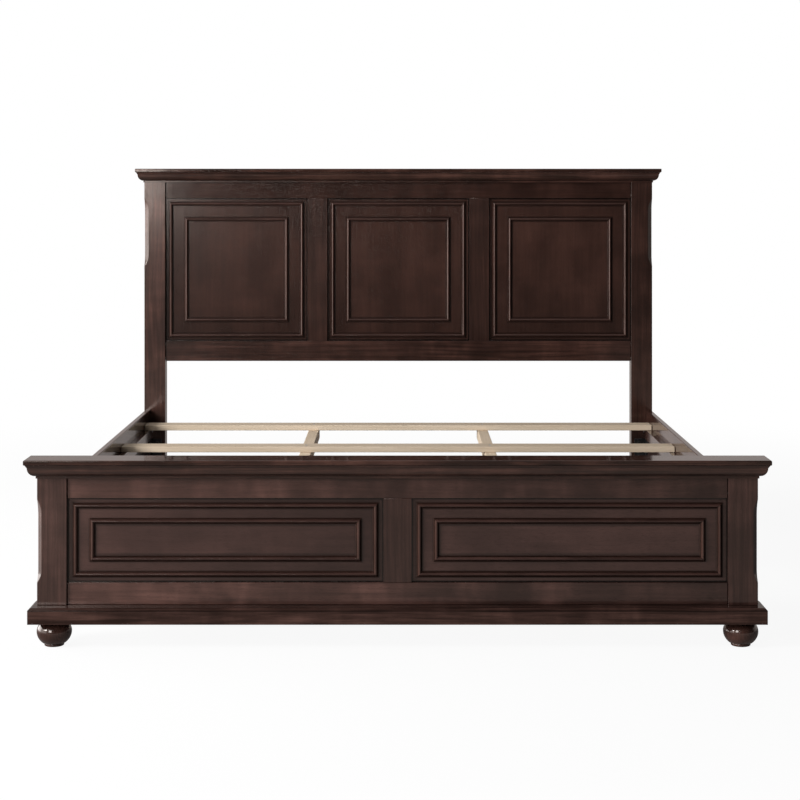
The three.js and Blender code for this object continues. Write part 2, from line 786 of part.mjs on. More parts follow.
function beam() {
  const half = BEAM_SIZE / 2;
  const dowelTop = beamFoot + DOWEL_LENGTH + GAP;
  const bores = legYs.map((y) =>
    rod("z", DOWEL_RADIUS + GAP, [0, y], [beamFoot - OVERRUN, dowelTop]),
  );
  const body = block([-half, half], [frontSlatFront, rearSlatBack], [beamFoot, ledgerTop]);
  return toGeometry(cut(body, ...bores));
}

// A square leg about x = y = 0 with a dowel into the beam and a bore for the glide's stem
function leg() {
  const half = LEG_SIZE / 2;
  const top = beamFoot - GAP;
  const stemTop = GLIDE_THICKNESS + STEM_LENGTH;
  return toGeometry(
    cut(
      join(
        block([-half, half], [-half, half], [LEG_FOOT, top]),
        rod("z", DOWEL_RADIUS, [0, 0], [top - DOWEL_LENGTH, top + DOWEL_LENGTH]),
      ),
      rod(
        "z",
        STEM_RADIUS + STEM_CLEARANCE,
        [0, 0],
        [LEG_FOOT - OVERRUN, stemTop + TRAVEL_ROOM],
      ),
    ),
  );
}

// A round foot with a threaded stem, turned as one piece
function glide() {
  const top = GLIDE_THICKNESS;
  const outline = [
    [0, 0],
    [GLIDE_RADIUS - GLIDE_EASE, 0],
    [GLIDE_RADIUS, GLIDE_EASE],
    [GLIDE_RADIUS, top - GLIDE_EASE],
    [GLIDE_RADIUS - GLIDE_EASE, top],
    [STEM_RADIUS, top],
    [STEM_RADIUS, top + STEM_LENGTH],
    [0, top + STEM_LENGTH],
  ].map(([radius, height]) => new THREE.Vector2(radius, height));
  const turning = new THREE.LatheGeometry(outline, ROD_SIDES);
  return toGeometry(toSolid(turning.rotateX(Math.PI / 2)));
}

function mattressSupport() {
  const group = new THREE.Group();
  for (let i = 0; i < SLAT_COUNT; i++) {
    place(group, `slat_${i + 1}`, slat(), palePine, 0, slatY(i));
  }
  [["left", -beamX], ["right", beamX]].forEach(([side, x]) => {
    place(group, `centre_beam_${side}`, beam(), palePine, x);
    [["front", legYs[0]], ["rear", legYs[1]]].forEach(([end, y]) => {
      place(group, `centre_leg_${side}_${end}`, leg(), palePine, x, y);
      place(group, `levelling_glide_${side}_${end}`, glide(), glideNylon, x, y);
    });
  });
  return group;
}

const bed = new THREE.Group();
bed.add(footboard(), headboard(), sides(), mattressSupport());

export default bed;
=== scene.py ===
"""Looks of the panel bed base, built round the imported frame. Lengths are in metres."""
import itertools
import math

import bmesh
import bpy
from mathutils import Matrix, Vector


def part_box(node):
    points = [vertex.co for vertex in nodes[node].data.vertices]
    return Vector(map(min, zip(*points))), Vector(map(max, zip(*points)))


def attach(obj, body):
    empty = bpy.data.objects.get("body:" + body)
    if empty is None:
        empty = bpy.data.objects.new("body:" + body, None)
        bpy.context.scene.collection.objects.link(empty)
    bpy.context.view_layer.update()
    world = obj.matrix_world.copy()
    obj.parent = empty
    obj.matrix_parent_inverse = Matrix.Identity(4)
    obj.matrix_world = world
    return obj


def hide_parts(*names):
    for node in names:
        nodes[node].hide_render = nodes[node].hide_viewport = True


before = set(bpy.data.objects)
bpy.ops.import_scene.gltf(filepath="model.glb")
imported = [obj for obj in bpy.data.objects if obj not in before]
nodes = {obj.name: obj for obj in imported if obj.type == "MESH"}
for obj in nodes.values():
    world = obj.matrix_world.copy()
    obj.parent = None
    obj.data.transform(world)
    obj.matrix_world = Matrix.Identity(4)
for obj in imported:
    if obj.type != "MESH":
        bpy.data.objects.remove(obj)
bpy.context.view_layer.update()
scene = bpy.context.scene

MM = 0.001

# ---------------------------------------------------------------- camera

PHOTO_SIDE = 800  # pixels
FOCAL_PIXELS = 1802
HORIZON_ROW = 192.7
SENSOR = 36  # millimetres
CAMERA_PLACE = (0.007, -6.1205, 1.272)

camera_data = bpy.data.cameras.new("photo_camera")
camera_data.sensor_width = SENSOR
camera_data.lens = FOCAL_PIXELS / PHOTO_SIDE * SENSOR
camera_data.shift_y = HORIZON_ROW / PHOTO_SIDE - 0.5
camera_data.clip_start = 0.1
camera_data.clip_end = 200
camera = bpy.data.objects.new("photo_camera", camera_data)
camera.location = CAMERA_PLACE
camera.rotation_euler = (math.radians(90), 0, 0)
scene.collection.objects.link(camera)
scene.camera = camera

# ---------------------------------------------------------------- shader helpers


def put(tree, kind, sockets=None, **settings):
    """A new node; socket values are numbers, colours or other nodes' outputs."""
    node = tree.nodes.new(kind)
    for name, value in settings.items():
        setattr(node, name, value)
    for key, value in (sockets or {}).items():
        if isinstance(value, bpy.types.NodeSocket):
            tree.links.new(value, node.inputs[key])
        else:
            node.inputs[key].default_value = value
    return node


def out(node, key=0):
    return node.outputs[key]


def split(tree, vector):
    """A node whose outputs are the vector's X, Y and Z."""
    return put(tree, "ShaderNodeSeparateXYZ", {"Vector": vector})


def object_place(tree):
    return out(put(tree, "ShaderNodeTexCoord"), "Object")


def scaled(tree, vector, factors):
    return out(put(tree, "ShaderNodeVectorMath", {0: vector, 1: factors}, operation="MULTIPLY"))


def noise(tree, vector, factors, detail=2.0, roughness=0.5):
    """Noise of scale 1 over coordinates stretched by the factors, in cycles per metre."""
    space = scaled(tree, vector, factors)
    sockets = {"Vector": space, "Scale": 1.0, "Detail": detail, "Roughness": roughness}
    return out(put(tree, "ShaderNodeTexNoise", sockets), "Fac")


def span(tree, value, low, high, to_low=0.0, to_high=1.0, smooth=True):
    """The value's place between low and high, brought to the range from to_low to to_high."""
    made = put(
        tree,
        "ShaderNodeMapRange",
        {"Value": value, "From Min": low, "From Max": high, "To Min": to_low, "To Max": to_high},
        interpolation_type="SMOOTHSTEP" if smooth else "LINEAR",
    )
    return out(made)


def maths(tree, operation, a, b=0.0, c=None):
    sockets = {0: a, 1: b}
    if c is not None:
        sockets[2] = c
    return out(put(tree, "ShaderNodeMath", sockets, operation=operation))


def times(tree, a, b):
    return maths(tree, "MULTIPLY", a, b)


def linear(tree, value, slope, start):
    return maths(tree, "MULTIPLY_ADD", value, slope, start)


def distance_from(tree, value, middle):
    return maths(tree, "ABSOLUTE", maths(tree, "SUBTRACT", value, middle))


def distance_in(tree, value, low, high):
    """How far a position lies in from the nearer end of a length."""
    from_low = maths(tree, "SUBTRACT", value, low)
    from_high = maths(tree, "SUBTRACT", high, value)
    return maths(tree, "MINIMUM", from_low, from_high)


def weigh(tree, factor, a, b):
    """A number between a and b."""
    return out(put(tree, "ShaderNodeMix", {"Factor": factor, 2: a, 3: b}))


def blend(tree, factor, a, b, kind="MIX"):
    """A colour made of two."""
    made = put(tree, "ShaderNodeMix", {"Factor": factor}, data_type="RGBA", blend_type=kind)
    for key, value in ((6, a), (7, b)):
        if isinstance(value, bpy.types.NodeSocket):
            tree.links.new(value, made.inputs[key])
        else:
            made.inputs[key].default_value = (*value, 1.0)
    return made.outputs[2]


def bumps(tree, strength, distance, height):
    sockets = {"Strength": strength, "Distance": distance, "Height": height}
    return out(put(tree, "ShaderNodeBump", sockets))


def new_tree(name):
    material = bpy.data.materials.new(name)
    material.use_nodes = True
    tree = material.node_tree
    tree.nodes.clear()
    return material, tree


def end_tree(tree, sockets):
    shader = put(tree, "ShaderNodeBsdfPrincipled", sockets)
    put(tree, "ShaderNodeOutputMaterial", {"Surface": shader.outputs[0]})


GRAIN_ORDER = {"x": "XYZ", "y": "YZX", "z": "ZXY"}
SEED_STEP = (3.71, 1.93, 2.57)


def grain_space(tree, axis, seed):
    """Object coordinates turned so that X runs along the grain, moved apart for each seed."""
    parts = split(tree, object_place(tree))
    turned = {key: out(parts, turned_from) for key, turned_from in zip("XYZ", GRAIN_ORDER[axis])}
    shift = tuple(seed * step for step in SEED_STEP)
    sockets = {0: out(put(tree, "ShaderNodeCombineXYZ", turned)), 1: shift}
    return out(put(tree, "ShaderNodeVectorMath", sockets, operation="ADD"))


def wavy(tree, space, factors, reach):
    """The coordinates bent across the grain by a slow wave, so that no line runs dead straight."""
    wander = linear(tree, noise(tree, space, factors, detail=1.0), reach, -reach / 2)
    across = out(put(tree, "ShaderNodeCombineXYZ", {"Y": wander, "Z": wander}))
    return out(put(tree, "ShaderNodeVectorMath", {0: space, 1: across}, operation="ADD"))


# ---------------------------------------------------------------- stained pine

STAIN_DARK = (0.0105, 0.0045, 0.0033)
STAIN_BODY = (0.0420, 0.0187, 0.0140)
STAIN_RED = (0.135, 0.0600, 0.0450)
LACQUER_TINT = (1.0, 0.86, 0.78, 1.0)
COAT_IOR = 1.4

# Cycles per metre along the grain and across it
STAINED_WAVE = (1.4, 5.0, 5.0)
STAINED_CLOUDS = (3.2, 9.0, 9.0)
STAINED_BLOTCHES = (8.0, 7.0, 7.0)
STAINED_SMUDGES = (30.0, 7.0, 7.0)
STAINED_BANDS = (1.6, 58.0, 58.0)
STAINED_LINES = (4.5, 210.0, 210.0)
STAINED_PORES = (60.0, 1500.0, 1500.0)
STAINED_STREAKS = (4.5, 100.0, 100.0)
STAINED_SWELLS = (18.0, 30.0, 30.0)
STAINED_WAVE_REACH = 35 * MM

# Painted shade in a panel's corners, beside its mouldings and in the plinth's crease, and a dark joint
# with painted shade beside the post at a rail's ends: how near each is full, how far off it is gone, and
# how dark it is there
SHADE_UPRIGHT_EDGE = (2.2 * MM, 6.5 * MM, 0.05)
SHADE_LEVEL_EDGE = (1.4 * MM, 8.5 * MM, 0.05)
SHADE_BESIDE_MOULDING = (8.0 * MM, 14.0 * MM, 0.50)
JOINT_AND_SHADE = (2.4 * MM, 5.6 * MM, 0.04)
CREASE_SHADOW = (0.8 * MM, 3.0 * MM, 0.45)
BORDER_SHADE = 0.86
BORDER_BLUR = 1.0 * MM
SILL_SHADE = 0.62
SILL_FADE = (-3.0 * MM, 0.5 * MM)
CREASE_DROP = 1.3 * MM


# Darkening that fades out with distance: painted shade, and at a rail's ends also a dark joint
def darkened_near(tree, distance, darkening):
    near, far, shade = darkening
    return span(tree, distance, near, far, shade, 1.0)


def panel_shade(tree, x, z, recess):
    """Painted shade round a panel's opening and beside its mouldings, and the border between the
    mouldings darker.
    """
    left, right, foot, head, *middles = recess
    across = distance_in(tree, x, left, right)
    up = distance_in(tree, z, foot, head)
    shade = times(tree, darkened_near(tree, across, SHADE_UPRIGHT_EDGE), darkened_near(tree, up, SHADE_LEVEL_EDGE))
    reach = maths(tree, "MINIMUM", across, up)
    for middle in middles:
        shade = times(tree, shade, darkened_near(tree, distance_from(tree, reach, middle), SHADE_BESIDE_MOULDING))
    inner = middles[-1]
    border = span(tree, reach, inner - BORDER_BLUR, inner + BORDER_BLUR, BORDER_SHADE, 1.0)
    return times(tree, shade, border)


def sill_shade(tree, z, sill):
    """Painted shade on the slope above a board's sill, and a painted shadow line in the crease just under
    it.
    """
    slope = span(tree, z, sill + SILL_FADE[0], sill + SILL_FADE[1], 1.0, SILL_SHADE)
    return times(tree, slope, darkened_near(tree, distance_from(tree, z, sill - CREASE_DROP), CREASE_SHADOW))


def stained(
    name, axis, seed, figure=0.5, streaks=0.5, tone=1.0, ends=(1.0, 1.0), depth=0.12, cast=None,
    roughness=0.14, ior=1.5, coat=0.25, gloss=0.3, relief=0.35, recess=None, joints=None, sill=None,
):
    """Dark stained pine under warm clear lacquer.

    Figure is the share of reddish blotches, streaks that of dark grain, and depth how far the
    stain varies from streak to streak. Tone multiplies its colour, ends do so at -1 m and at
    1 m along the grain, and cast is a colour that multiplies it all. Roughness and ior belong
    to the wood, coat and gloss are the lacquer's share and roughness, and relief is the
    strength of the bumps. Recess is a panel's opening and mouldings, joints the two ends of a
    rail, and sill the height of the plinth's bevel line: at each of them painted shade darkens
    the colour, and at the joints a dark joint does too.
    """
    material, tree = new_tree(name)
    space = grain_space(tree, axis, seed)
    bent = wavy(tree, space, STAINED_WAVE, STAINED_WAVE_REACH)
    cloud = span(tree, noise(tree, bent, STAINED_CLOUDS, detail=3.0), 0.34, 0.66)
    blotch = span(tree, noise(tree, bent, STAINED_BLOTCHES, detail=2.5, roughness=0.55), 0.36, 0.68)
    smudge = span(tree, noise(tree, bent, STAINED_SMUDGES, detail=1.5), 0.30, 0.72)
    band = span(tree, noise(tree, bent, STAINED_BANDS, detail=3.0, roughness=0.55), 0.35, 0.68)
    line = noise(tree, bent, STAINED_LINES, detail=4.0, roughness=0.65)
    pore = span(tree, noise(tree, bent, STAINED_PORES, detail=1.0), 0.60, 0.70)
    streak = span(tree, noise(tree, bent, STAINED_STREAKS, detail=3.0), 0.32, 0.68, 1 - depth, 1 + depth)

    body = blend(tree, cloud, [c * 0.78 for c in STAIN_BODY], [c * 1.15 for c in STAIN_BODY])
    reddish = times(tree, linear(tree, smudge, 0.45, 0.55), blotch)
    body = blend(tree, times(tree, reddish, figure), body, STAIN_RED)
    lines = linear(tree, band, 0.55, times(tree, span(tree, line, 0.36, 0.70), 0.45))
    body = blend(tree, times(tree, lines, streaks), body, STAIN_DARK)
    body = blend(tree, times(tree, pore, 0.45), body, [c * 0.6 for c in STAIN_DARK])

    place = split(tree, object_place(tree))
    x, z, along = out(place, "X"), out(place, "Z"), out(place, axis.upper())
    low_tone, high_tone = (tone * end for end in ends)
    shade = times(tree, streak, span(tree, along, -1.0, 1.0, low_tone, high_tone, smooth=False))
    if joints:
        shade = times(tree, shade, darkened_near(tree, distance_in(tree, along, *joints), JOINT_AND_SHADE))
    if sill:
        shade = times(tree, shade, sill_shade(tree, z, sill))
    if recess:
        shade = times(tree, shade, panel_shade(tree, x, z, recess))
    body = blend(tree, 1.0, body, shade, "MULTIPLY")
    if cast:
        body = blend(tree, 1.0, body, cast, "MULTIPLY")

    rough = linear(tree, pore, 0.10, linear(tree, line, 0.10, roughness - 0.05))
    height = linear(tree, line, 0.4, times(tree, pore, -0.35))
    height = linear(tree, noise(tree, space, STAINED_SWELLS, detail=1.0), 1.6, height)
    end_tree(
        tree,
        {
            "Base Color": body,
            "Roughness": rough,
            "IOR": ior,
            "Specular Tint": LACQUER_TINT,
            "Coat Weight": coat,
            "Coat Roughness": gloss,
            "Coat IOR": COAT_IOR,
            "Normal": bumps(tree, relief, 0.4 * MM, height),
        },
    )
    return material


# ---------------------------------------------------------------- pale pine, steel, plastic

PALE_BODY = ((0.61, 0.490, 0.360), (0.70, 0.575, 0.44))
PALE_RING = (0.53, 0.395, 0.265)
PALE_LINE = (0.49, 0.365, 0.245)
PALE_KNOT = (0.21, 0.105, 0.050)

# Cycles per metre along the grain and across it
PALE_WAVE = (1.1, 6.0, 6.0)
PALE_RINGS = (0.8, 42.0, 42.0)
PALE_CLOUDS = (2.4, 16.0, 16.0)
PALE_LINES = (5.0, 320.0, 320.0)
PALE_KNOTS = (2.6, 9.0, 9.0)
PALE_WAVE_REACH = 50 * MM


def pale_pine(name, axis, seed, tone=1.0):
    """Raw pine with growth rings, fine lines and knots."""
    material, tree = new_tree(name)
    bent = wavy(tree, grain_space(tree, axis, seed), PALE_WAVE, PALE_WAVE_REACH)
    rings = put(
        tree,
        "ShaderNodeTexWave",
        {"Vector": scaled(tree, bent, PALE_RINGS), "Scale": 1.0, "Distortion": 2.2, "Detail": 2.0},
        wave_type="BANDS",
        bands_direction="DIAGONAL",
        wave_profile="SAW",
    )
    ring = span(tree, out(rings, "Fac"), 0.55, 1.0)
    cloud = span(tree, noise(tree, bent, PALE_CLOUDS, detail=3.0), 0.32, 0.68)
    line = noise(tree, bent, PALE_LINES, detail=3.0, roughness=0.6)
    knots = put(tree, "ShaderNodeTexVoronoi", {"Vector": scaled(tree, bent, PALE_KNOTS), "Scale": 1.0})
    knot = span(tree, out(knots, "Distance"), 0.05, 0.10, 1.0, 0.0)

    body = blend(tree, cloud, *PALE_BODY)
    body = blend(tree, times(tree, ring, 0.30), body, PALE_RING)
    body = blend(tree, times(tree, span(tree, line, 0.40, 0.72), 0.18), body, PALE_LINE)
    body = blend(tree, times(tree, knot, 0.75), body, PALE_KNOT)
    body = blend(tree, 1.0, body, (tone, tone, tone), "MULTIPLY")
    rough = linear(tree, line, 0.20, 0.52)
    normal = bumps(tree, 0.4, 0.4 * MM, linear(tree, line, 0.7, times(tree, ring, 0.35)))
    end_tree(tree, {"Base Color": body, "Roughness": rough, "IOR": 1.4, "Normal": normal})
    return material


ZINC_PALE = (0.62, 0.63, 0.65)
ZINC_DULL = (0.40, 0.41, 0.43)


def zinc_steel(name, seed, tone=1.0):
    """Rolled steel with a mottled plating; a low tone makes it a dark one."""
    material, tree = new_tree(name)
    space = grain_space(tree, "z", seed)
    cloud = noise(tree, space, (55.0, 55.0, 55.0), detail=4.0, roughness=0.6)
    rolled = noise(tree, space, (30.0, 900.0, 900.0), detail=3.0)
    dull, pale = ([c * tone for c in colour] for colour in (ZINC_DULL, ZINC_PALE))
    body = blend(tree, span(tree, cloud, 0.35, 0.68), dull, pale)
    rough = linear(tree, cloud, 0.22, linear(tree, rolled, 0.12, 0.20))
    normal = bumps(tree, 0.25, 0.2 * MM, rolled)
    end_tree(tree, {"Base Color": body, "Roughness": rough, "Metallic": 1.0, "Normal": normal})
    return material


NYLON = ((0.018, 0.018, 0.019), (0.030, 0.030, 0.031))


def moulded_plastic(name, seed):
    """Black nylon with a fine grit."""
    material, tree = new_tree(name)
    space = grain_space(tree, "x", seed)
    grit = noise(tree, space, (1300.0, 1300.0, 1300.0))
    cloud = noise(tree, space, (70.0, 70.0, 70.0))
    body = blend(tree, span(tree, cloud, 0.3, 0.7), *NYLON)
    rough = linear(tree, grit, 0.20, 0.36)
    normal = bumps(tree, 0.3, 0.2 * MM, grit)
    end_tree(tree, {"Base Color": body, "Roughness": rough, "IOR": 1.5, "Normal": normal})
    return material


# ---------------------------------------------------------------- modifiers on the frame's nodes

WELD_DISTANCE = 0.01 * MM
SHARP_ANGLE = math.radians(31)
LONG_EDGE = 5.3 * MM


def soften_group():
    """Geometry nodes that weld a node's facets, smooth its curves and mark its long sharp edges."""
    group = bpy.data.node_groups.new("soften", "GeometryNodeTree")
    face = group.interface
    face.new_socket("Geometry", in_out="INPUT", socket_type="NodeSocketGeometry")
    face.new_socket("Geometry", in_out="OUTPUT", socket_type="NodeSocketGeometry")
    entry = group.nodes.new("NodeGroupInput")
    leave = group.nodes.new("NodeGroupOutput")
    welding = {"Geometry": entry.outputs[0], "Distance": WELD_DISTANCE}
    welded = out(put(group, "GeometryNodeMergeByDistance", welding))
    angle = out(put(group, "GeometryNodeInputMeshEdgeAngle"), "Unsigned Angle")
    sharp = maths(group, "GREATER_THAN", angle, SHARP_ANGLE)
    ends = put(group, "GeometryNodeInputMeshEdgeVertices")
    ends = {0: out(ends, "Position 1"), 1: out(ends, "Position 2")}
    length = out(put(group, "ShaderNodeVectorMath", ends, operation="DISTANCE"), "Value")
    marked = {"Mesh": welded, "Edge Sharpness": sharp}
    marked = out(put(group, "GeometryNodeSetMeshNormal", marked, mode="SHARPNESS"))
    weight = times(group, sharp, maths(group, "GREATER_THAN", length, LONG_EDGE))
    stored = put(
        group,
        "GeometryNodeStoreNamedAttribute",
        {"Geometry": marked, "Name": "bevel_weight_edge", "Value": weight},
        data_type="FLOAT",
        domain="EDGE",
    )
    group.links.new(out(stored), leave.inputs[0])
    return group


SOFTEN = soften_group()


def soften(obj, width, segments):
    """Rounded arrises of a given width on a CAD node, by modifiers alone."""
    welding = obj.modifiers.new("weld_and_mark", "NODES")
    welding.node_group = SOFTEN
    if width:
        rounding = obj.modifiers.new("arris", "BEVEL")
        rounding.width = width
        rounding.segments = segments
        rounding.limit_method = "WEIGHT"
        rounding.use_clamp_overlap = False
        rounding.miter_outer = "MITER_ARC"
        rounding.harden_normals = False
    levelling = obj.modifiers.new("flat_faces", "WEIGHTED_NORMAL")
    levelling.keep_sharp = True
    levelling.weight = 50


def dress(name, material, width=0.0, segments=3):
    obj = nodes[name]
    obj.data.materials.clear()
    obj.data.materials.append(material)
    soften(obj, width, segments)


# ---------------------------------------------------------------- mesh helpers


def new_piece(name, mesh, materials, body="root", sharp=35):
    for material in materials:
        mesh.materials.append(material)
    mesh.polygons.foreach_set("use_smooth", [True] * len(mesh.polygons))
    mesh.set_sharp_from_angle(angle=math.radians(sharp))
    mesh.update()
    obj = bpy.data.objects.new(name, mesh)
    scene.collection.objects.link(obj)
    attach(obj, body)
    return obj


def loop(radii, height):
    """Points round a vertical axis, one for each radius."""
    turns = [2 * math.pi * i / len(radii) for i in range(len(radii))]
    return [Vector((r * math.cos(turn), r * math.sin(turn), height)) for r, turn in zip(radii, turns)]


def turned_form(bm, loops, centre, material=0):
    """Faces between loops of points about a centre, foot first, with both ends closed."""
    rings = [[bm.verts.new(point + centre) for point in loop] for loop in loops]
    faces = []
    for lower, upper in zip(rings, rings[1:]):
        for i in range(len(lower)):
            j = (i + 1) % len(lower)
            faces.append((lower[i], lower[j], upper[j], upper[i]))
    for corners in faces + [list(reversed(rings[0])), rings[-1]]:
        bm.faces.new(corners).material_index = material


def to_mesh(bm, name):
    mesh = bpy.data.meshes.new(name)
    bmesh.ops.recalc_face_normals(bm, faces=bm.faces)
    bm.to_mesh(mesh)
    bm.free()
    return mesh


def foot_centre(node):
    low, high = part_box(node)
    return Vector(((low.x + high.x) / 2, (low.y + high.y) / 2, low.z))


# ---------------------------------------------------------------- bead mouldings

MOULDING_WIDTH = 17 * MM
BEAD_HEIGHT = 8 * MM
EDGE_HEIGHT = 2.4 * MM
EDGE_CHAMFER = 0.3 * MM
LIP = 1.2 * MM
QUIRK_WIDTH = 2.4 * MM
QUIRK_FLOOR = 0.3 * MM
QUIRK_SLOPE = 0.25 * MM
BEAD_STEPS = 20
MITRE_GAP = 0.08 * MM
LEVEL, UPRIGHT, LEVEL_QUIRK_SHADE, UPRIGHT_QUIRK_SHADE = range(4)

# The upright beads are a lighter copy of the stain than the level ones, a painted highlight on their lit
# flanks.
BEAD = {"streaks": 0.4, "roughness": 0.10}
LEVEL_BEAD = {"figure": 0.18, "tone": 0.95, "cast": (1.0, 1.09, 1.18), **BEAD}
UPRIGHT_BEAD = {"figure": 0.25, "tone": 1.25, **BEAD}
# The finish of the painted shade in the quirks, in the words of stained()
QUIRK_SHADE = {"figure": 0.1, "streaks": 0.6, "ior": 1.2, "coat": 0.0, "roughness": 0.4}


def bead_profile():
    """Section of a bead with a quirk on each side: [in from the outer edge, proud of the panel]."""
    half = [(0, 0), (0, EDGE_HEIGHT - EDGE_CHAMFER), (EDGE_CHAMFER, EDGE_HEIGHT), (LIP, EDGE_HEIGHT)]
    half += [(LIP + QUIRK_SLOPE, QUIRK_FLOOR), (LIP + QUIRK_WIDTH, QUIRK_FLOOR)]
    middle = MOULDING_WIDTH / 2
    radius = middle - (LIP + QUIRK_WIDTH)
    rise = BEAD_HEIGHT - QUIRK_FLOOR
    angles = [math.pi * (1 - i / BEAD_STEPS) for i in range(1, BEAD_STEPS)]
    arc = [(middle + radius * math.cos(angle), QUIRK_FLOOR + rise * math.sin(angle)) for angle in angles]
    return half + arc + [(MOULDING_WIDTH - across, proud) for across, proud in reversed(half)]


BEAD_PROFILE = bead_profile()
# The quirks' darker stain is painted shade: a little on the level beads, and on the uprights' right side
# a deep painted shadow cast from the left.
level_quirk_shade = stained("painted_shade_quirk_level", "x", seed=90, tone=0.62, **QUIRK_SHADE)
upright_quirk_shade = stained("painted_shade_quirk_upright", "z", seed=91, tone=0.30, **QUIRK_SHADE)


def stick(bm, place, material, darkening, within=(0.0, MOULDING_WIDTH)):
    """One mitred length of moulding; place maps (end, across, proud) to a point.

    The sunk faces inside the given part of its width take a darker copy of the stain: painted shade.
    """
    ends = [[bm.verts.new(place(end, *point)) for point in BEAD_PROFILE] for end in (0, 1)]
    for i, (across, proud) in enumerate(BEAD_PROFILE):
        j = (i + 1) % len(BEAD_PROFILE)
        sunk = max(proud, BEAD_PROFILE[j][1]) <= EDGE_HEIGHT
        sunk = sunk and within[0] <= (across + BEAD_PROFILE[j][0]) / 2 <= within[1]
        face = bm.faces.new((ends[0][i], ends[0][j], ends[1][j], ends[1][i]))
        face.material_index = darkening if sunk else material
    for ring in ends:
        bm.faces.new(ring).material_index = material


def moulding_frame(node, seed):
    """Four lengths of bead moulding in place of a CAD frame; painted shade darkens the sunk faces on both
    sides of the level ones, and a deeper painted shadow those on the right side of the uprights.
    """
    low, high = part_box(node)
    back = high.y

    def level(edge_z, inward):
        def place(end, across, proud):
            x = (low.x + across + MITRE_GAP, high.x - across - MITRE_GAP)[end]
            return Vector((x, back - proud, edge_z + inward * across))

        return place

    def upright(edge_x, inward):
        def place(end, across, proud):
            z = (low.z + across + MITRE_GAP, high.z - across - MITRE_GAP)[end]
            return Vector((edge_x + inward * across, back - proud, z))

        return place

    bm = bmesh.new()
    middle = MOULDING_WIDTH / 2
    stick(bm, level(low.z, 1), LEVEL, LEVEL_QUIRK_SHADE)
    stick(bm, level(high.z, -1), LEVEL, LEVEL_QUIRK_SHADE)
    stick(bm, upright(low.x, 1), UPRIGHT, UPRIGHT_QUIRK_SHADE, (middle, MOULDING_WIDTH))
    stick(bm, upright(high.x, -1), UPRIGHT, UPRIGHT_QUIRK_SHADE, (0.0, middle))
    mesh = to_mesh(bm, f"beads_{node}")
    level_bead = stained(f"bead_level_{node}", "x", seed, **LEVEL_BEAD)
    upright_bead = stained(f"bead_upright_{node}", "z", seed, **UPRIGHT_BEAD)
    materials = [level_bead, upright_bead, level_quirk_shade, upright_quirk_shade]
    piece = new_piece(f"beads_{node}", mesh, materials)
    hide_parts(node)


# ---------------------------------------------------------------- bun feet

BUN_SIDES = 96
BUN_STEPS = 22
BUN_RADIUS = 49.0 * MM
BUN_WAIST = 40.4 * MM  # height of the widest part
BUN_PAD_TOP = 8.5 * MM
BUN_SHOULDER = 71.2 * MM
BUN_LOWER_RISE = 42.0 * MM
BUN_UPPER_RISE = 38.0 * MM

# [radius, height] in millimetres
BUN_PAD = [(23.5, 0.0), (25.5, 0.4), (27.1, 1.5), (27.5, 3.0), (27.5, 7.2), (27.0, 8.0), (26.6, 8.6)]
BUN_PIN = [(14.0, 71.2), (14.0, 98.4), (13.2, 99.2)]
BUN_TONE = {"left": 1.0, "right": 1.25}
BUN = {"figure": 0.5, "streaks": 0.35, "coat": 0.8, "gloss": 0.05}


def bun_profile():
    """A foot pad, a bun of two quarter ellipses and the pin above it."""
    start = math.asin((BUN_WAIST - BUN_PAD_TOP) / BUN_LOWER_RISE)
    end = math.asin((BUN_SHOULDER - BUN_WAIST) / BUN_UPPER_RISE)
    below = [start * (1 - i / BUN_STEPS) for i in range(1, BUN_STEPS)]
    above = [end * i / BUN_STEPS for i in range(BUN_STEPS + 1)]
    points = [(radius * MM, height * MM) for radius, height in BUN_PAD]
    points += [(BUN_RADIUS * math.cos(a), BUN_WAIST - BUN_LOWER_RISE * math.sin(a)) for a in below]
    points += [(BUN_RADIUS * math.cos(a), BUN_WAIST + BUN_UPPER_RISE * math.sin(a)) for a in above]
    return points + [(radius * MM, height * MM) for radius, height in BUN_PIN]


def bun_foot(side, seed):
    node = f"bun_foot_{side}"
    bm = bmesh.new()
    loops = [loop([radius] * BUN_SIDES, height) for radius, height in bun_profile()]
    turned_form(bm, loops, foot_centre(node))
    material = stained(f"turned_{node}", "z", seed, tone=BUN_TONE[side], **BUN)
    piece = new_piece(f"turned_{node}", to_mesh(bm, node), [material])
    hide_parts(node)


# ---------------------------------------------------------------- levelling glides

# [radius, height] in millimetres
GLIDE_DISC = [
    (16.5, 0.0), (17.6, 0.3), (18.5, 0.9), (19.0, 1.8), (19.0, 4.6), (18.6, 5.6), (17.6, 6.3),
    (12.0, 6.9), (9.0, 7.2), (8.4, 7.6), (7.6, 8.0), (5.0, 8.0),
]
DISC_SIDES = 48
STEM_FOOT = 7.9 * MM
THREAD_ROOT = 3.35 * MM
THREAD_DEPTH = 0.6 * MM
THREAD_PITCH = 1.25 * MM
THREAD_SIDES = 24
STEPS_PER_PITCH = 4
TAPER_PITCHES = 2
TIP_SHARE = 0.5


def thread_loops(foot, top):
    """Loops of a right-handed thread, tapered at its tip."""
    steps = round((top - foot) / THREAD_PITCH) * STEPS_PER_PITCH
    loops = []
    for s in range(steps + 1):
        height = foot + (top - foot) * s / steps
        taper = min(1.0, TIP_SHARE + (1 - TIP_SHARE) * (steps - s) / (TAPER_PITCHES * STEPS_PER_PITCH))
        phases = [(height / THREAD_PITCH - i / THREAD_SIDES) % 1.0 for i in range(THREAD_SIDES)]
        radii = [(THREAD_ROOT + THREAD_DEPTH * abs(2 * phase - 1)) * taper for phase in phases]
        loops.append(loop(radii, height))
    return loops


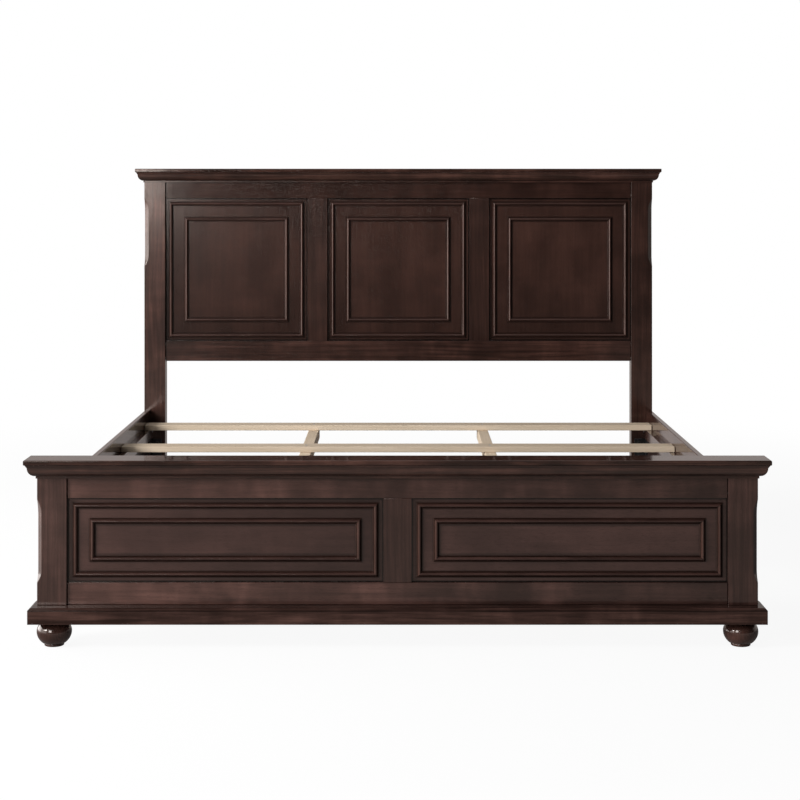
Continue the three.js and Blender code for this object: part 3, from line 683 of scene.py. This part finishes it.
def glide(place, seed):
    node = f"levelling_glide_{place}"
    low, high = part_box(node)
    centre = foot_centre(node)
    bm = bmesh.new()
    disc = [loop([radius * MM] * DISC_SIDES, height * MM) for radius, height in GLIDE_DISC]
    turned_form(bm, disc, centre)
    turned_form(bm, thread_loops(STEM_FOOT, high.z - low.z), centre, material=1)
    mesh = to_mesh(bm, node)
    materials = [moulded_plastic(f"nylon_{place}", seed), zinc_steel(f"thread_{place}", seed)]
    piece = new_piece(f"glide_{place}", mesh, materials, body=f"glide_{place}")
    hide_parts(node)


# ---------------------------------------------------------------- screws

SCREW_RADIUS = 4.2 * MM
SCREW_SIDES = 32
SCREW_RINGS = (0.14, 0.22, 0.30, 0.38, 0.46, 0.54, 0.62, 0.80, 0.94, 1.0)  # shares of its radius
SCREW_CROWN = 0.45 * MM
SCREW_PROUD = 0.08 * MM
RIM_SUNK = 0.15 * MM
RECESS_DEPTH = 0.9 * MM
RECESS_TAPER = 0.9
RECESS_ARM = 0.13  # half of an arm's width as a share of the head's radius
RECESS_REACH = 0.58  # an arm's length as a share of it
SPIN_STEP = 0.83  # radians from one screw's cross to the next one's


def screw_height(share, angle, spin):
    """How far a point of the head stands above the face that the screw is in."""
    arm = min(abs(math.sin(angle - spin)), abs(math.cos(angle - spin))) * share
    if share == 1.0:
        return -RIM_SUNK
    if arm < RECESS_ARM and share < RECESS_REACH:
        return -RECESS_DEPTH * (1 - share * RECESS_TAPER)
    return SCREW_CROWN * math.sqrt(1 - share**2) + SCREW_PROUD


def screw(bm, centre, normal, spin):
    """A low screw head with a cross recess, seated on a face."""
    up = normal.normalized()
    side = up.orthogonal().normalized()
    ahead = up.cross(side)
    hub = bm.verts.new(centre - up * RECESS_DEPTH)
    inner = None
    for share in SCREW_RINGS:
        ring = []
        for i in range(SCREW_SIDES):
            angle = 2 * math.pi * i / SCREW_SIDES
            reach = side * math.cos(angle) + ahead * math.sin(angle)
            height = screw_height(share, angle, spin)
            ring.append(bm.verts.new(centre + reach * share * SCREW_RADIUS + up * height))
        for i in range(SCREW_SIDES):
            j = (i + 1) % SCREW_SIDES
            bm.faces.new((inner[i], ring[i], ring[j], inner[j]) if inner else (hub, ring[i], ring[j]))
        inner = ring
    bm.faces.new(list(reversed(inner)))


def screw_set(name, places, normal, seed):
    bm = bmesh.new()
    for i, place in enumerate(places):
        screw(bm, Vector(place), Vector(normal), seed + i * SPIN_STEP)
    new_piece(name, to_mesh(bm, name), [zinc_steel(f"zinc_{name}", seed)], sharp=50)


# ---------------------------------------------------------------- dressing the bed

# The footboard's stain is a little cooler than the headboard's, and its panels' cooler still
CAST = {"headboard": None, "footboard": (1.0, 1.08, 1.16)}
FOOT_PANEL_CAST = (1.0, 1.12, 1.26)

# The finish of each board's pieces, in the words of stained()
POST = {
    "headboard_post_left": {"tone": 0.90, "figure": 0.5, "depth": 0.24},
    "headboard_post_right": {"tone": 0.70, "figure": 0.35, "depth": 0.15},
    "footboard_post_left": {"tone": 0.95, "figure": 0.35, "depth": 0.15},
    "footboard_post_right": {"tone": 0.92, "figure": 0.35, "depth": 0.15},
}
CAP = {
    "tone": 0.84, "ends": (0.9, 1.1), "figure": 0.5, "streaks": 0.8, "depth": 0.42,
    "roughness": 0.08, "coat": 0.0, "relief": 0.12,
}
CROWN = {"tone": 0.98, "ends": (0.82, 1.18), "figure": 0.4, "streaks": 0.8, "depth": 0.36}
# The headboard's top rail has a darker tone, painted shade under the crown.
TOP_RAIL = {
    "headboard": {
        "tone": 0.56, "ends": (0.9, 1.08), "figure": 0.35, "roughness": 0.10, "ior": 1.4, "coat": 0.1,
    },
    "footboard": {"tone": 0.90, "ends": (1.42, 0.62), "figure": 0.58},
}
BOTTOM_RAIL = {
    "headboard": {"tone": 0.76, "ends": (0.74, 1.18), "figure": 0.50, "streaks": 0.6, "depth": 0.30},
    "footboard": {"tone": 0.98, "ends": (1.60, 0.45), "figure": 0.64, "streaks": 0.35, "depth": 0.14},
}
MULLION = {"figure": 0.2, "streaks": 0.5, "depth": 0.2}
MULLION_TONE = {"headboard": 0.70, "footboard": 0.78}
PANEL = {
    "headboard": {"figure": 0.18, "streaks": 0.25, "depth": 0.05, "coat": 0.14},
    "footboard": {"figure": 0.14, "streaks": 0.2, "depth": 0.06, "cast": FOOT_PANEL_CAST},
}
PANEL_TONE = {
    "headboard_panel_left": {"tone": 0.78, "ends": (-0.8, 1.05)},
    "headboard_panel_centre": {"tone": 0.88, "ends": (-0.8, 1.05)},
    "headboard_panel_right": {"tone": 0.92, "ends": (-1.3, 1.05)},
    "footboard_panel_left": {"tone": 0.89, "ends": (1.62, 0.0)},
    "footboard_panel_right": {"tone": 1.12, "ends": (1.0, 1.0)},
}
PLINTH = {
    "tone": 1.14, "ends": (0.80, 1.15), "figure": 0.38, "streaks": 0.75, "depth": 0.38,
    "cast": (1.0, 1.14, 1.22), "roughness": 0.09, "ior": 1.25, "coat": 0.0, "relief": 0.1,
}
PLINTH_SLOPE = 6 * MM  # from its top down to its bevel line
SIDE_RAIL = {"figure": 0.3, "streaks": 0.5, "roughness": 0.10, "coat": 0.0, "relief": 0.12}
SLAT_TONE = {1: 0.91, 2: 0.84, 3: 0.91, 4: 0.91}
DARK_STEEL = 0.13

# Widths of the rounded arrises
POST_ARRIS = {"left": 1.4 * MM, "right": 0.7 * MM}
CAP_ARRIS = 0.9 * MM
CROWN_ARRIS = 0.4 * MM
RAIL_ARRIS = 1.0 * MM
PLINTH_ARRIS = 0.9 * MM
SIDE_RAIL_ARRIS = 0.8 * MM
LEDGER_ARRIS = 1.2 * MM
STEEL_ARRIS = 0.35 * MM
PALE_ARRIS = 2.0 * MM

STILES = {
    "headboard": ("post_left", "mullion_left", "mullion_right", "post_right"),
    "footboard": ("post_left", "mullion", "post_right"),
}
PANELS = {"headboard": ("left", "centre", "right"), "footboard": ("left", "right")}

seeds = itertools.count(1)


def stain(name, axis, width=0.0, **finish):
    dress(name, stained(name, axis, next(seeds), **finish), width)


def panel_recess(board, place):
    """The opening round a panel, and how far in from it the middles of its two mouldings lie."""
    index = PANELS[board].index(place)
    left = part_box(f"{board}_{STILES[board][index]}")[1].x
    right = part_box(f"{board}_{STILES[board][index + 1]}")[0].x
    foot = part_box(f"{board}_bottom_rail")[1].z
    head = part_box(f"{board}_top_rail")[0].z
    rings = [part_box(f"{board}_{ring}_moulding_{place}")[0].x for ring in ("outer", "inner")]
    return (left, right, foot, head, *(ring - left + MOULDING_WIDTH / 2 for ring in rings))


for board, cast in CAST.items():
    for side, arris in POST_ARRIS.items():
        name = f"{board}_post_{side}"
        stain(name, "z", arris, streaks=0.65, cast=cast, **POST[name])
    stain(f"{board}_cap", "x", CAP_ARRIS, **CAP)
    stain(f"{board}_crown", "x", CROWN_ARRIS, **CROWN)
    # Each rail's two ends get a dark joint with painted shade beside the post
    joints = [corner.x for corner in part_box(f"{board}_top_rail")]
    finish = {"streaks": 0.30, "depth": 0.10, "joints": joints, "cast": cast, **TOP_RAIL[board]}
    stain(f"{board}_top_rail", "x", RAIL_ARRIS, **finish)
    stain(f"{board}_bottom_rail", "x", RAIL_ARRIS, joints=joints, cast=cast, **BOTTOM_RAIL[board])

for board, stiles in STILES.items():
    for stile in stiles[1:-1]:
        stain(f"{board}_{stile}", "z", RAIL_ARRIS, tone=MULLION_TONE[board], cast=CAST[board], **MULLION)

for board, axis in (("headboard", "z"), ("footboard", "x")):
    for place in PANELS[board]:
        name = f"{board}_panel_{place}"
        # Each panel's recess brings painted shade round its opening and beside its mouldings
        stain(name, axis, recess=panel_recess(board, place), **PANEL_TONE[name], **PANEL[board])

# The plinth's sill brings painted shade on its slope and a painted shadow line in the crease under it
name = "footboard_plinth"
stain(name, "x", PLINTH_ARRIS, sill=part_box(name)[1].z - PLINTH_SLOPE, **PLINTH)

for node in sorted(nodes):
    if "_moulding_" in node:
        moulding_frame(node, next(seeds))

for side in ("left", "right"):
    bun_foot(side, next(seeds))
    for end in ("front", "rear"):
        stain(f"side_rail_{end}_{side}", "y", SIDE_RAIL_ARRIS, **SIDE_RAIL)
    stain(f"slat_ledger_{side}", "y", LEDGER_ARRIS, **SIDE_RAIL)
    for name in (f"rail_bracket_front_{side}", f"rail_bracket_rear_{side}", f"rail_splice_plate_{side}"):
        dress(name, zinc_steel(name, next(seeds), tone=DARK_STEEL), STEEL_ARRIS, 2)
    name = f"centre_beam_{side}"
    dress(name, pale_pine(name, "y", next(seeds)), PALE_ARRIS)
    for end in ("front", "rear"):
        name, seed = f"centre_leg_{side}_{end}", next(seeds)
        dress(name, pale_pine(name, "z", seed), PALE_ARRIS)
        glide(f"{side}_{end}", seed)

for index, tone in SLAT_TONE.items():
    name = f"slat_{index}"
    dress(name, pale_pine(name, "x", next(seeds), tone=tone), PALE_ARRIS)

# The slats' screws: x over the ledgers and the beams, and how far each stands off the slat's middle
SLAT_SCREWS = ((-0.9747, 21 * MM), (-0.3283, 10.5 * MM), (0.3283, 10.5 * MM), (0.9747, 21 * MM))
LEDGER_SCREWS = 8
LEDGER_MARGIN = 90 * MM
LEDGER_STAGGER = 6 * MM

places = []
for index in SLAT_TONE:
    low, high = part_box(f"slat_{index}")
    for x, offset in SLAT_SCREWS:
        places += [(x, (low.y + high.y) / 2 + shift, high.z) for shift in (-offset, offset)]
screw_set("slat_screws", places, (0, 0, 1), seed=3)

for side, inward, seed in (("left", 1, 4), ("right", -1, 6)):
    low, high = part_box(f"slat_ledger_{side}")
    face = high.x if inward > 0 else low.x
    pitch = (high.y - low.y - 2 * LEDGER_MARGIN) / (LEDGER_SCREWS - 1)
    places = []
    for i in range(LEDGER_SCREWS):
        stagger = LEDGER_STAGGER if i % 2 else -LEDGER_STAGGER
        places.append((face, low.y + LEDGER_MARGIN + pitch * i, (low.z + high.z) / 2 + stagger))
    screw_set(f"ledger_screws_{side}", places, (inward, 0, 0), seed)

# ---------------------------------------------------------------- floor, world and lamps

WHITE = (1.0, 1.0, 1.0)

# How bright the white surroundings are in the lacquer, and their hue there
MIRRORED_HUE = (1.0, 0.90, 0.86)
REFLECTED_WHITE = 0.50
LEFT_WHITE = 1.0
FRONT_FLOOR = 0.40
FAR_LEFT_FLOOR = 0.36
DIM = 0.10

# What the floor and the world send to the object by diffuse light
FLOOR_BOUNCE = 0.30
WORLD_LIGHT = 0.04

# Directions between which the mirrored world grows brighter: from its front to its rear, and to its left
WORLD_REAR_Y, WORLD_LEFT_X = (-0.25, 0.25), (-0.85, -0.50)
WORLD_FRONT_WHITE = 0.05

FLOOR_HALF = 14.0
FLOOR_DROP = 0.6 * MM
FLOOR_PALE = ((0.80, 0.80, 0.80), (0.83, 0.83, 0.83))
SHADOW_REACH = (1.6, 4.5)  # the floor's own shade shows near the bed, and fades out to white
SHADOW_SHARE = 0.92

# Strips of the floor that are mirrored brighter, a painted reflection, as X or Y where each begins or
# ends to change
AHEAD_START, AHEAD_END = (-6.0, -4.2), (-1.4, -1.0)
BESIDE_X, BESIDE_Y = (-1.7, -1.1), (-4.5, -2.5)
BEYOND_Y, BEYOND_X = (1.2, 1.8), (-0.25, 0.15)


def mirrored_floor(tree, space):
    """Painted reflection: how bright the floor glows to glossy rays, part by part, and so how bright the
    lacquer mirrors it.
    """
    parts = split(tree, space)
    x, y = out(parts, "X"), out(parts, "Y")
    ahead = times(tree, span(tree, y, *AHEAD_START), span(tree, y, *AHEAD_END, 1.0, 0.0))
    beside = times(tree, span(tree, x, *BESIDE_X, 1.0, 0.0), span(tree, y, *BESIDE_Y))
    near = weigh(tree, beside, linear(tree, ahead, FRONT_FLOOR - DIM, DIM), LEFT_WHITE)
    far = span(tree, x, *BEYOND_X, FAR_LEFT_FLOOR, REFLECTED_WHITE)
    return weigh(tree, span(tree, y, *BEYOND_Y), near, far)


def studio_floor():
    """A white floor that keeps the bed's shadow, and glows to glossy rays as a painted reflection."""
    bm = bmesh.new()
    corners = ((-1, -1), (1, -1), (1, 1), (-1, 1))
    bm.faces.new([bm.verts.new((x * FLOOR_HALF, y * FLOOR_HALF, -FLOOR_DROP)) for x, y in corners])
    mesh = to_mesh(bm, "studio_floor")
    material, tree = new_tree("studio_floor")
    space = object_place(tree)
    rays = put(tree, "ShaderNodeLightPath")
    glossy = out(rays, "Is Glossy Ray")
    seen = maths(tree, "MAXIMUM", out(rays, "Is Camera Ray"), out(rays, "Is Transmission Ray"))
    pale = blend(tree, noise(tree, space, (3.0, 3.0, 3.0), detail=3.0), *FLOOR_PALE)
    colour = blend(tree, out(rays, "Is Diffuse Ray"), pale, (FLOOR_BOUNCE, FLOOR_BOUNCE, FLOOR_BOUNCE))
    surface = put(tree, "ShaderNodeBsdfDiffuse", {"Color": colour})
    strength = linear(tree, glossy, mirrored_floor(tree, space), seen)
    hue = blend(tree, glossy, WHITE, MIRRORED_HUE)
    glow = put(tree, "ShaderNodeEmission", {"Color": hue, "Strength": strength})
    away = out(put(tree, "ShaderNodeVectorMath", {0: space}, operation="LENGTH"), "Value")
    share = span(tree, away, *SHADOW_REACH, SHADOW_SHARE, 1.0)
    share = times(tree, share, maths(tree, "MAXIMUM", seen, glossy))
    mixed = put(tree, "ShaderNodeMixShader", {0: share, 1: out(surface), 2: out(glow)})
    put(tree, "ShaderNodeOutputMaterial", {"Surface": out(mixed)})
    mesh.materials.append(material)
    obj = bpy.data.objects.new("studio_floor", mesh)
    scene.collection.objects.link(obj)


def background(tree, colour, strength):
    return out(put(tree, "ShaderNodeBackground", {"Color": (*colour, 1.0), "Strength": strength}))


def studio_world():
    """White to the camera, dim to the object's diffuse light, and brighter on the left in its lacquer."""
    world = bpy.data.worlds.new("studio")
    scene.world = world
    world.use_nodes = True
    tree = world.node_tree
    tree.nodes.clear()
    rays = put(tree, "ShaderNodeLightPath")
    direction = split(tree, out(put(tree, "ShaderNodeTexCoord"), "Generated"))
    behind = span(tree, out(direction, "Y"), *WORLD_REAR_Y, WORLD_FRONT_WHITE, REFLECTED_WHITE)
    sideways = span(tree, out(direction, "X"), *WORLD_LEFT_X, 1.0, 0.0)
    lit = background(tree, WHITE, WORLD_LIGHT)
    mirrored = background(tree, MIRRORED_HUE, weigh(tree, sideways, behind, LEFT_WHITE))
    seen = background(tree, WHITE, 1.0)
    first = out(put(tree, "ShaderNodeMixShader", {0: out(rays, "Is Glossy Ray"), 1: lit, 2: mirrored}))
    direct = maths(tree, "MAXIMUM", out(rays, "Is Camera Ray"), out(rays, "Is Transmission Ray"))
    second = out(put(tree, "ShaderNodeMixShader", {0: direct, 1: first, 2: seen}))
    put(tree, "ShaderNodeOutputWorld", {"Surface": second})


def lamp(name, place, aim, size, power):
    data = bpy.data.lights.new(name, "AREA")
    data.shape = "RECTANGLE"
    data.size, data.size_y = size
    data.energy = power
    obj = bpy.data.objects.new(name, data)
    obj.location = place
    obj.visible_camera = False
    obj.rotation_euler = (Vector(aim) - Vector(place)).to_track_quat("-Z", "Y").to_euler()
    scene.collection.objects.link(obj)


studio_floor()
studio_world()
lamp("left", place=(-5.6, -3.9, 3.4), aim=(0.0, -0.3, 0.5), size=(2.1, 2.3), power=570)
lamp("front", place=(-2.75, -6.5, 2.18), aim=(0.0, -0.3, 0.7), size=(1.8, 2.2), power=132)
lamp("near_left", place=(-4.2, -2.6, 1.35), aim=(0.0, -1.5, 0.6), size=(3.2, 2.6), power=33)
lamp("side", place=(-3.6, 0.3, 1.05), aim=(0.0, 0.3, 1.05), size=(2.6, 2.0), power=66)
lamp("top", place=(-0.6, 0.4, 4.4), aim=(0.0, 0.2, 0.3), size=(5.0, 5.0), power=55)

scene.view_settings.view_transform = "Standard"
